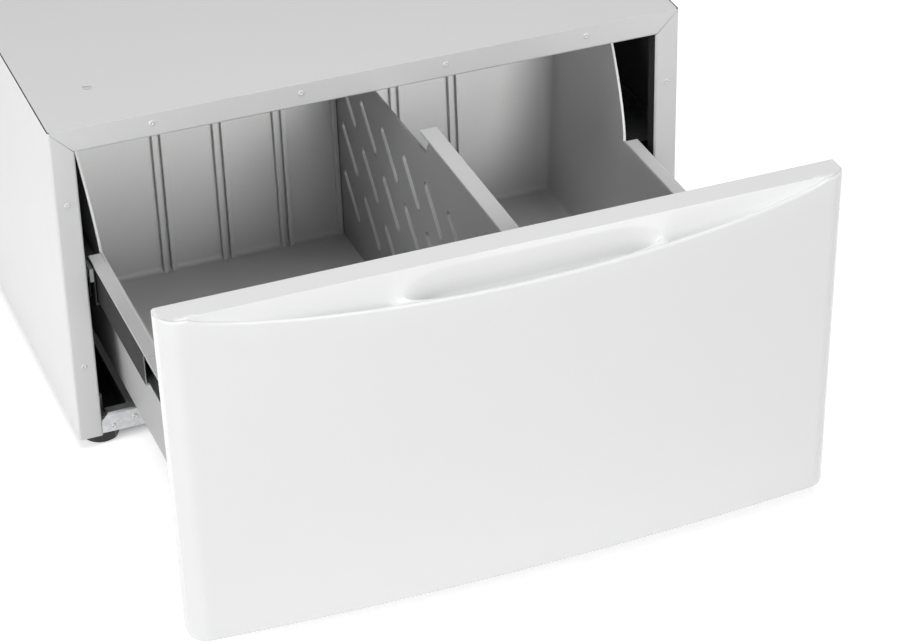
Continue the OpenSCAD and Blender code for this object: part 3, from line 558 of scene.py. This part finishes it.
def binOutline():
    # points around the inside of the floor: place, and the direction that faces out of the bin
    r, half, front, back = [binSizes[label] for label in ("cornerRadius", "half", "front", "back")]
    points = []

    def straight(ax, ay, bx, by, nx, ny, stops):
        for f in stops:
            points.append((ax + (bx - ax) * f, ay + (by - ay) * f, nx, ny))

    def corner(cx, cy, start):
        for i in range(binSteps["corner"] + 1):
            a = math.radians(start + i * 90 / binSteps["corner"])
            points.append((cx + r * math.cos(a), cy + r * math.sin(a), math.cos(a), math.sin(a)))

    def even(length):
        n = max(2, round(length / binSteps["length"]))
        return [i / n for i in range(1, n)]

    sideLength = back - front - 2 * r
    wing = []
    for i in range(binSteps["wing"] + 1):
        run = binSizes["wingRun"] * (i / binSteps["wing"]) ** binSizes["wingPower"]
        wing.append((binSizes["wingStart"] - front - r + run) / sideLength)
    clear = binSteps["beforeWing"] / sideLength
    side = sorted([f for f in even(sideLength) if f < wing[0] - clear or f > wing[-1] + clear] + wing)
    corner(half - r, front + r, -90)
    straight(half, front + r, half, back - r, 1, 0, side)
    corner(half - r, back - r, 0)
    straight(half - r, back, r - half, back, 0, 1, even(2 * (half - r)))
    corner(r - half, back - r, 90)
    straight(-half, back - r, -half, front + r, -1, 0, [1 - f for f in reversed(side)])
    corner(r - half, front + r, 180)
    straight(r - half, front, half - r, front, 0, -1, even(2 * (half - r)))
    return points


def binTop(y):
    run = max(0.0, min(1.0, (y - binSizes["wingStart"]) / binSizes["wingRun"]))
    return binSizes["rim"] + (binSizes["top"] - binSizes["rim"]) * run ** (1 / binSizes["wingPower"])


def drawerBin():
    r = binSizes["floorRadius"]
    curve = [math.pi / 2 * i / binSteps["floorEdge"] for i in range(binSteps["floorEdge"] + 1)]
    wallShares = [i / binSteps["wall"] for i in range(1, binSteps["wall"] + 1)]
    rows = []
    for x, y, nx, ny in binOutline():
        draft = binSizes["sideDraft"] * abs(nx) + binSizes["backDraft"] * max(0, ny)
        wallTop = binTop(y) - binSizes["floor"]
        levels = [(r * (1 - math.sin(a)), r * (1 - math.cos(a))) for a in curve]
        levels += [(0, r + (wallTop - r) * share) for share in wallShares]
        row = []
        for inset, up in levels:
            out = up * draft - inset
            row.append(((x + nx * out) * mm, (drawerY + y + ny * out) * mm, (binSizes["floor"] + up) * mm))
        rows.append(row)
    count, levelCount = len(rows), len(rows[0])
    faces = [[i * levelCount for i in reversed(range(count))]]
    for i in range(count):
        here, there = i * levelCount, (i + 1) % count * levelCount
        faces += [(here + j, there + j, there + j + 1, here + j + 1) for j in range(levelCount - 1)]
    mesh = bpy.data.meshes.new("drawer_bin_shell")
    mesh.from_pydata([point for row in rows for point in row], [], faces)
    mesh.materials.append(finish["bin_grey"])
    cleanMesh(mesh, mergeReach / 4)
    shadeSmooth(mesh, 40)
    piece = addPiece("drawer_bin_shell", mesh)
    wall = piece.modifiers.new("wall", "SOLIDIFY")
    wall.thickness = binSizes["wall"] * mm
    wall.offset = 1
    wall.use_even_offset = True
    soften(piece, binSizes["softEdge"], segments=3, angle=60)
    fasten(piece, "drawer", "bin_grey", "drawer_bin")


drawerBin()


def channelRibs(name, settings):
    # pairs of ribs that hold the divider, leaning with the wall they stand on
    tree = PieceTree(name, settings)
    size = tree.inputs
    cube = tree.add("GeometryNodeMeshCube", {
        "Size": tree.vector(size["Rib width"] * mm, size["Rib depth"] * mm, size["Rib height"] * mm)})
    z = tree.coordinates()[2]
    up = z / mm + size["Rib height"] / 2
    lean = tree.vector(0.0, up * size["Draft"] * mm, size["Rib height"] * mm / 2)
    leaned = tree.add("GeometryNodeSetPosition", {"Geometry": cube.outputs[0], "Offset": lean})
    pair = []
    for side in (-1, 1):
        shift = (size["Channel width"] + size["Rib width"]) / 2 * side
        moved = tree.add("GeometryNodeTransform", {
            "Geometry": leaned.outputs[0], "Translation": tree.vector(shift * mm)})
        pair.append(moved.outputs[0])
    first = -size["Pitch"] * ((settings["Channels"] - 1) / 2) * mm
    line = tree.add("GeometryNodeMeshLine", {
        "Count": size["Channels"], "Offset": tree.vector(size["Pitch"] * mm),
        "Start Location": tree.vector(first, size["Middle"] * mm, size["Foot"] * mm)})
    piece = tree.makePiece(name, tree.repeat(tree.join(*pair), line.outputs[0]), finish["bin_grey"])
    soften(piece, ribSeat["softEdge"], angle=60)
    fasten(piece, "drawer", "bin_grey")


ribSeat = {"sunk": 1.0, "fromWall": 2.0, "belowTop": 2.0, "belowRim": 5.0, "softEdge": 0.7}
ribFoot = binSizes["floor"] - ribSeat["sunk"]
ribSizes = {"Rib width": 5.0, "Rib depth": 8.0, "Channel width": 4.5, "Pitch": 69.3, "Channels": 6, "Foot": ribFoot}
channelRibs("rear_channel_ribs", ribSizes | {
    "Rib height": binSizes["top"] - ribSeat["belowTop"] - ribFoot, "Draft": binSizes["backDraft"],
    "Middle": drawerY + binSizes["back"] - ribSeat["fromWall"]})
channelRibs("front_channel_ribs", ribSizes | {
    "Rib height": binSizes["rim"] - ribSeat["belowRim"] - ribFoot, "Draft": 0.0,
    "Middle": drawerY + binSizes["front"] + ribSeat["fromWall"]})

rimSizes = {"inner": 293.3, "outer": 308.5, "thick": 3.0, "beadWidth": 2.2, "beadHeight": 0.8, "softEdge": 0.35,
            "steps": [(-rimLead, 96, 0), (96, 168, -0.7), (168, 374.6, 0)]}      # from, to, and how much lower


def binRims():
    # flanges over the slides, drawn along each side with a bead on their inner edge
    inner, outer, thick = [rimSizes[label] for label in ("inner", "outer", "thick")]
    beadOut, beadUp = inner + rimSizes["beadWidth"], rimSizes["beadHeight"]
    for side, label in ((-1, "left"), (1, "right")):
        work = bmesh.new()
        for start, end, down in rimSizes["steps"]:
            z = binSizes["rim"] + down
            section = [(inner, z - thick), (outer, z - thick), (outer, z), (beadOut, z), (beadOut, z + beadUp),
                       (inner, z + beadUp)]
            rings = [[work.verts.new((side * x * mm, (drawerY + y) * mm, up * mm)) for x, up in section]
                     for y in (start, end)]
            for i in range(len(section)):
                j = (i + 1) % len(section)
                work.faces.new((rings[0][i], rings[0][j], rings[1][j], rings[1][i]))
            for ring in rings:
                work.faces.new(ring)
        bmesh.ops.recalc_face_normals(work, faces=work.faces)
        mesh = bpy.data.meshes.new(label + "_bin_rim")
        work.to_mesh(mesh)
        work.free()
        mesh.materials.append(finish["bin_grey"])
        mesh.shade_smooth()
        piece = addPiece(label + "_bin_rim", mesh)
        soften(piece, rimSizes["softEdge"])
        fasten(piece, "drawer", "bin_grey")


binRims()
print("bin moulded")


def islands(nodeName):
    # lowest and highest corner of each separate solid of a CAD node
    work = bmesh.new()
    work.from_mesh(nodes[nodeName].data)
    bmesh.ops.remove_doubles(work, verts=work.verts, dist=mergeReach * 2.5)
    left = set(work.verts)
    found = []
    while left:
        reached = {left.pop()}
        waiting = list(reached)
        while waiting:
            vertex = waiting.pop()
            for edge in vertex.link_edges:
                other = edge.other_vert(vertex)
                if other in left:
                    left.remove(other)
                    reached.add(other)
                    waiting.append(other)
        found.append([Vector([pick(v.co[i] for v in reached) for i in range(3)]) for pick in (min, max)])
    work.free()
    return sorted(found, key=lambda corners: tuple(corners[0]))


rivetSizes = {"Head radius": 3.1, "Head height": 1.0, "Dome power": 4.0, "Dimple radius": 1.6, "Dimple wall": 0.8,
              "Dimple depth": 0.75, "Shank": 0.6}
# the stretches are shares of the turned outline; the seat lies that far behind the CAD head's face
rivetForm = {"underside": (0, 0.25), "rim": (0.25, 0.3), "dome": (0.3, 1), "sides": 24, "rows": 30, "seat": 0.9}


def rivets(name, nodeName, slot):
    tree = PieceTree(name, rivetSizes)
    size = tree.inputs

    def radius(share):
        underside = share.between(*rivetForm["underside"])
        return size["Head radius"] * underside * (-share.between(*rivetForm["dome"]) + 1)

    def height(share, x, y):
        out = (x * x + y * y).root()
        dome = size["Head height"] * (-((out / size["Head radius"]) ** size["Dome power"]) + 1).root()
        dimple = ((size["Dimple radius"] - out) / size["Dimple wall"]).smooth() * size["Dimple depth"]
        onTop = share.between(*rivetForm["rim"])
        return (dome - dimple) * onTop - size["Shank"] * (-onTop + 1)

    head = tree.revolve(rivetForm["sides"], rivetForm["rows"], radius, height)
    seat = rivetForm["seat"] * mm
    places = [((low.x + high.x) / 2, low.y + seat, (low.z + high.z) / 2) for low, high in islands(nodeName)]
    piece = tree.makePiece(name, tree.repeat(head, tree.places, (math.pi / 2, 0, 0)), finish[slot], places)
    shadeSmooth(piece.data, 50)
    fasten(piece, bodyOf[nodeName], slot, nodeName)


screwSizes = {"Head radius": 4.5, "Head height": 1.6, "Dome power": 3.0, "Shank radius": 2.0,
              "Cross width": 0.85, "Cross reach": 2.5, "Cross depth": 1.0, "Cross wall": 0.3, "Cross end": 0.4}
screwForm = {"tip": (0, 0.125), "shank": (0.13, 0.19), "underside": (0.2, 0.2833333), "rim": (0.3, 0.38),
             "dome": (0.4, 1), "sides": 32, "rows": 36, "long": 7.0, "short": 3.2, "slideWeb": 1.2}


def screws(name, nodeName, turn, places, shankLength=screwForm["long"]):
    # pan heads with a cross recess
    tree = PieceTree(name, screwSizes | {"Shank length": shankLength})
    size = tree.inputs

    def radius(share):
        shank = share.between(*screwForm["tip"]) * size["Shank radius"]
        head = share.between(*screwForm["underside"]) * (size["Head radius"] - size["Shank radius"])
        return (shank + head) * (-share.between(*screwForm["dome"]) + 1)

    def height(share, x, y):
        out = (x * x + y * y).root()
        dome = size["Head height"] * (-((out / size["Head radius"]) ** size["Dome power"]) + 1).root()
        arms = [((size["Cross width"] - z.absolute()) / size["Cross wall"]).smooth() for z in (x, y)]
        ends = ((size["Cross reach"] - out) / size["Cross end"]).smooth()
        cross = arms[0].most(arms[1]) * ends * size["Cross depth"]
        onTop = share.between(*screwForm["rim"])
        below = -size["Shank length"] * (-share.between(*screwForm["shank"]) + 1)
        return (dome - cross) * onTop + below

    head = tree.revolve(screwForm["sides"], screwForm["rows"], radius, height)
    piece = tree.makePiece(name, tree.repeat(head, tree.places, turn), finish["galvanised"], places)
    shadeSmooth(piece.data, 45)
    fasten(piece, bodyOf[nodeName], "galvanised", nodeName)


def middles(nodeName):
    return [(low + high) / 2 for low, high in islands(nodeName)]


rivets("frame_rivet_heads", "frame_rivets", "white_enamel")
rivets("base_rivet_heads", "base_rail_rivets", "galvanised")
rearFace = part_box("cabinet_screws")[1].y - screwSizes["Head height"] * mm
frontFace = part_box("front_screws")[0].y
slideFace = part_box("right_slide_inner")[0].x + screwForm["slideWeb"] * mm
screws("cabinet_screw_heads", "cabinet_screws", (-math.pi / 2, 0, 0),
       [(m.x, rearFace, m.z) for m in middles("cabinet_screws")])
for label, side in (("left", -1), ("right", 1)):
    screws("slide_screw_heads_" + label, "slide_screws", (0, side * math.pi / 2, 0),
           [(side * slideFace, m.y, m.z) for m in middles("slide_screws") if m.x * side > 0], screwForm["short"])
screws("front_screw_heads", "front_screws", (-math.pi / 2, 0, 0),
       [(m.x, frontFace, m.z) for m in middles("front_screws")])
print("rivets and screws set")


slotSizes = {"Slot length": 53.6, "Slot width": 11.0, "Slope": math.radians(43.6), "Slots back": 8, "Slots up": 3,
             "Pitch back": 65.0, "Pitch up": 59.5, "Bead radius": 0.9, "Bead rise": 0.3,
             "End steps": 8, "Bead sides": 10}
firstSlot = {"fromBack": 47.4, "fromFloor": 67.0}


def slotBeads():
    # soft raised rims round the slots, on both faces of the plate
    tree = PieceTree("Slot beads", slotSizes)
    size = tree.inputs
    wide = size["Slot width"] + size["Bead radius"] * 2
    outline = tree.add("GeometryNodeCurvePrimitiveQuadrilateral", {
        "Width": (size["Slot length"] + wide) * mm, "Height": wide * mm})
    rounded = tree.add("GeometryNodeFilletCurve", {
        "Curve": outline.outputs[0], "Radius": wide * mm / 2 * 0.999,      # just under half, so no edge has no length
        "Count": size["End steps"], "Limit Radius": True}, mode="POLY")
    ring = tree.add("GeometryNodeCurvePrimitiveCircle", {
        "Resolution": size["Bead sides"], "Radius": size["Bead radius"] * mm})
    tube = tree.add("GeometryNodeCurveToMesh", {"Curve": rounded.outputs[0], "Profile Curve": ring.outputs[0]})
    tilted = tree.add("GeometryNodeTransform", {
        "Geometry": tube.outputs[0], "Rotation": tree.vector(0.0, 0.0, size["Slope"])})
    runBack = size["Pitch back"] * (size["Slots back"] - 1) * mm
    runUp = size["Pitch up"] * (size["Slots up"] - 1) * mm
    points = tree.add("GeometryNodeMeshGrid", {
        "Size X": runBack, "Size Y": runUp, "Vertices X": size["Slots back"], "Vertices Y": size["Slots up"]})
    sheet = tree.repeat(tilted.outputs[0], points.outputs[0])
    low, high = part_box("divider_plate")
    middleY = -runBack / 2 + (high.y - firstSlot["fromBack"] * mm)
    middleZ = runUp / 2 + (low.z + firstSlot["fromFloor"] * mm)
    faces = []
    for x, side in ((low.x, 1), (high.x, -1)):
        deep = (size["Bead radius"] - size["Bead rise"]) * side * mm
        moved = tree.add("GeometryNodeTransform", {
            "Geometry": sheet, "Translation": tree.vector(deep + x, middleY, middleZ),
            "Rotation": (math.pi / 2, 0, math.pi / 2)})
        faces.append(moved.outputs[0])
    piece = tree.makePiece("divider_slot_beads", tree.join(*faces), finish["divider_grey"])
    shadeSmooth(piece.data, 60)
    fasten(piece, "divider", "divider_grey")


slotBeads()
print("divider slots beaded")


def softCopy(nodeName, width, segments=2, paintedShadeFaces=None):
    # the same shape with its edges rounded as bent, cast or trimmed ones are; the faces it is told to darken are
    # painted near black as shade
    mesh = nodes[nodeName].data.copy()
    work = bmesh.new()
    work.from_mesh(mesh)
    bmesh.ops.remove_doubles(work, verts=work.verts, dist=mergeReach)
    bmesh.ops.dissolve_limit(work, angle_limit=math.radians(1), verts=work.verts, edges=work.edges)
    for face in work.faces:
        face.smooth = True
        if paintedShadeFaces and paintedShadeFaces(face.calc_center_median(), face.normal):
            face.material_index = 1
    work.to_mesh(mesh)
    work.free()
    piece = addPiece(nodeName + "_finished", mesh)
    if paintedShadeFaces:
        mesh.materials.append(finish["painted_shade_inside"])
    soften(piece, width, segments)
    fasten(piece, bodyOf[nodeName], slotOf[nodeName], nodeName)


softEdges = {"frame": 0.15, "panel": 0.25, "slide": 0.2, "bar": 0.7, "foot": 0.8}
facing = 0.5      # a face whose normal reaches this far along an axis looks that way
# what is painted dark as shade inside the cabinet: past the skin, behind the stile and behind its return
inside = {"skin": 0.6, "stile": 25.5, "behindStile": 0.8, "behindReturn": 2.2, "rearFlange": 2.0, "deckSheet": 1.0}
panelLow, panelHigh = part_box("left_side_panel")


def paintedShadeBehindFrame(centre, normal):
    # the side panel's inside and its return behind the stile, painted dark as shade, not the outside of its rear
    # flange
    if normal.y > facing and centre.y > panelHigh.y - inside["rearFlange"] * mm:
        return False
    inward = (abs(panelLow.x) - abs(centre.x)) / mm
    back = (centre.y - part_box("front_top_rail")[0].y) / mm
    if inward < inside["stile"]:
        return inward > inside["skin"] and back > inside["behindStile"]
    return back > inside["behindReturn"]


# the deck's underside, painted dark as shade
def paintedShadeUnderDeck(centre, normal):
    return normal.z < -facing or centre.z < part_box("top_deck")[1].z - inside["deckSheet"] * mm


for nodeName in ("left_side_panel", "right_side_panel"):
    softCopy(nodeName, softEdges["frame"], paintedShadeFaces=paintedShadeBehindFrame)
softCopy("front_top_rail", softEdges["frame"])
# the deck's underside and the rear panel's inner face are painted dark as shade
softCopy("top_deck", softEdges["panel"], paintedShadeFaces=paintedShadeUnderDeck)
softCopy("rear_panel", softEdges["panel"], paintedShadeFaces=lambda centre, normal: normal.y < -facing)
# the slides' side faces are painted dark as the shade in their channels
for nodeName in ("left_slide_intermediate", "right_slide_intermediate", "left_slide_inner", "right_slide_inner"):
    softCopy(nodeName, softEdges["slide"], paintedShadeFaces=lambda centre, normal: abs(normal.x) > facing)
softCopy("divider_bar", softEdges["bar"], segments=3)
for nodeName in ("front_left_foot", "front_right_foot", "rear_left_foot", "rear_right_foot"):
    softCopy(nodeName, softEdges["foot"], segments=3)
print("edges softened")


# found by matching the edges of the cabinet, the drawer and the divider
view = {"place": (-0.8917631, -2.6991511, 1.7934361), "yaw": 0.3681, "pitch": 0.5678, "roll": -0.0219,
        "lens": 119.76, "film": 36, "shift": (-0.0232, 0.0133)}


def aimCamera():
    data = bpy.data.cameras.new("camera")
    data.lens = view["lens"]
    data.sensor_width = view["film"]
    data.shift_x, data.shift_y = view["shift"]
    camera = bpy.data.objects.new("camera", data)
    scene.collection.objects.link(camera)
    yaw, pitch, roll = view["yaw"], view["pitch"], view["roll"]
    ahead = Vector((math.sin(yaw) * math.cos(pitch), math.cos(yaw) * math.cos(pitch), -math.sin(pitch)))
    level = Vector((math.cos(yaw), -math.sin(yaw), 0))
    upright = level.cross(ahead)
    across = level * math.cos(roll) + upright * math.sin(roll)
    up = upright * math.cos(roll) - level * math.sin(roll)
    camera.matrix_world = Matrix.Translation(view["place"]) @ Matrix((across, up, -ahead)).transposed().to_4x4()
    scene.camera = camera


def addLamp(name, place, target, size, watts):
    data = bpy.data.lights.new(name, "AREA")
    data.shape = "RECTANGLE"
    data.size, data.size_y = size
    data.energy = watts
    lamp = bpy.data.objects.new(name, data)
    scene.collection.objects.link(lamp)
    lamp.location = place
    lamp.rotation_mode = "QUATERNION"
    lamp.rotation_quaternion = (Vector(target) - Vector(place)).to_track_quat("-Z", "Y")
    return lamp


lamps = [      # name, place, target, size, watts
    ("left", (-3.4, -1.4, 1.1), (0, -0.2, 0.2), (2.2, 1.4), 47),
    ("front_right", (2.2, -3.6, 1.0), (0, -0.3, 0.2), (2.4, 1.4), 14),
    ("overhead", (-0.2, -1.3, 3.0), (0, -0.2, 0), (2.2, 1.2), 47),
]
binFill = {"place": (0.9, -4.3, 2.0), "target": (0, 0.1, 0.2), "size": (1.8, 1.4), "watts": 250}
sky = {"horizon": 0.74, "zenith": 0.36, "zenithFrom": 0.7, "front": 1.0, "frontTo": -0.3, "behind": 0.18,
       "behindFrom": 0.6}
floor = {"reach": 14, "colour": (0.9, 0.9, 0.9, 1), "roughness": 0.9}
# no glow under the cabinet, and more where the lamps no longer reach
floorGlow = {"strength": 0.6, "underMiddle": (0, 0.202), "underHalf": 0.29, "fade": 0.04,
             "farFrom": 2.2, "farFade": 1.5, "farStrength": 0.4}


def lightScene():
    for name, place, target, size, watts in lamps:
        addLamp(name, place, target, size, watts)
    # a card that brightens the inside of the drawer, past the cabinet's top rail
    fill = addLamp("bin_fill", binFill["place"], binFill["target"], binFill["size"], binFill["watts"])
    lit = bpy.data.collections.new("bin_and_divider")
    blocking = bpy.data.collections.new("drawer_pieces")
    for piece in bpy.data.objects:
        name = piece.name
        if piece.type == "MESH" and "cabinet" not in name and any(
                word in name for word in ("bin", "divider", "channel_ribs")):
            lit.objects.link(piece)
            blocking.objects.link(piece)
        if name.startswith("drawer_front"):
            blocking.objects.link(piece)
    fill.light_linking.receiver_collection = lit
    fill.light_linking.blocker_collection = blocking


def paintSky():
    # plain white where it is seen; the light it gives is strongest from low down in front
    world = bpy.data.worlds.new("studio")
    scene.world = world
    world.use_nodes = True
    tree = world.node_tree
    ray = tree.nodes.new("ShaderNodeLightPath").outputs
    seen = Term(tree, ray["Is Camera Ray"]) + Term(tree, ray["Is Glossy Ray"])
    seen = (seen + Term(tree, ray["Is Transmission Ray"])).least(1)
    direction = tree.nodes.new("ShaderNodeTexCoord")
    split = tree.nodes.new("ShaderNodeSeparateXYZ")
    tree.links.new(direction.outputs["Generated"], split.inputs[0])
    high = spread(tree, split.outputs["Z"], sky["horizon"], sky["zenith"], 0, sky["zenithFrom"])
    rear = spread(tree, split.outputs["Y"], sky["front"], sky["behind"], sky["frontTo"], sky["behindFrom"])
    light = Term(tree, high) * Term(tree, rear)
    background = tree.nodes["Background"]
    background.inputs["Color"].default_value = (1, 1, 1, 1)
    tree.links.new((light + (-light + 1) * seen).socket, background.inputs["Strength"])


def layFloor():
    mesh = bpy.data.meshes.new("studio_floor")
    reach = floor["reach"]
    corners = [(-reach, -reach, 0), (reach, -reach, 0), (reach, reach, 0), (-reach, reach, 0)]
    mesh.from_pydata(corners, [], [(0, 1, 2, 3)])
    material, tree, shader = materialNodes("studio_floor")
    shader.inputs["Base Color"].default_value = floor["colour"]
    shader.inputs["Roughness"].default_value = floor["roughness"]
    shader.inputs["Specular IOR Level"].default_value = 0.0
    ray = tree.nodes.new("ShaderNodeLightPath").outputs
    seen = (Term(tree, ray["Is Camera Ray"]) + Term(tree, ray["Is Glossy Ray"])).least(1)
    split = tree.nodes.new("ShaderNodeSeparateXYZ")
    tree.links.new(objectCoordinates(tree), split.inputs[0])
    out = [(Term(tree, split.outputs[i]) - floorGlow["underMiddle"][i]).absolute() for i in range(2)]
    away = out[0].most(out[1])
    clear = ((away - floorGlow["underHalf"]) / floorGlow["fade"]).smooth()
    far = ((away - floorGlow["farFrom"]) / floorGlow["farFade"]).smooth()
    glow = clear * floorGlow["strength"] + far * floorGlow["farStrength"]
    shader.inputs["Emission Color"].default_value = (1, 1, 1, 1)
    tree.links.new((seen * glow).socket, shader.inputs["Emission Strength"])
    mesh.materials.append(material)
    addPiece("studio_floor", mesh)


aimCamera()
lightScene()
paintSky()
layFloor()
scene.view_settings.view_transform = "Standard"
print("stage set")
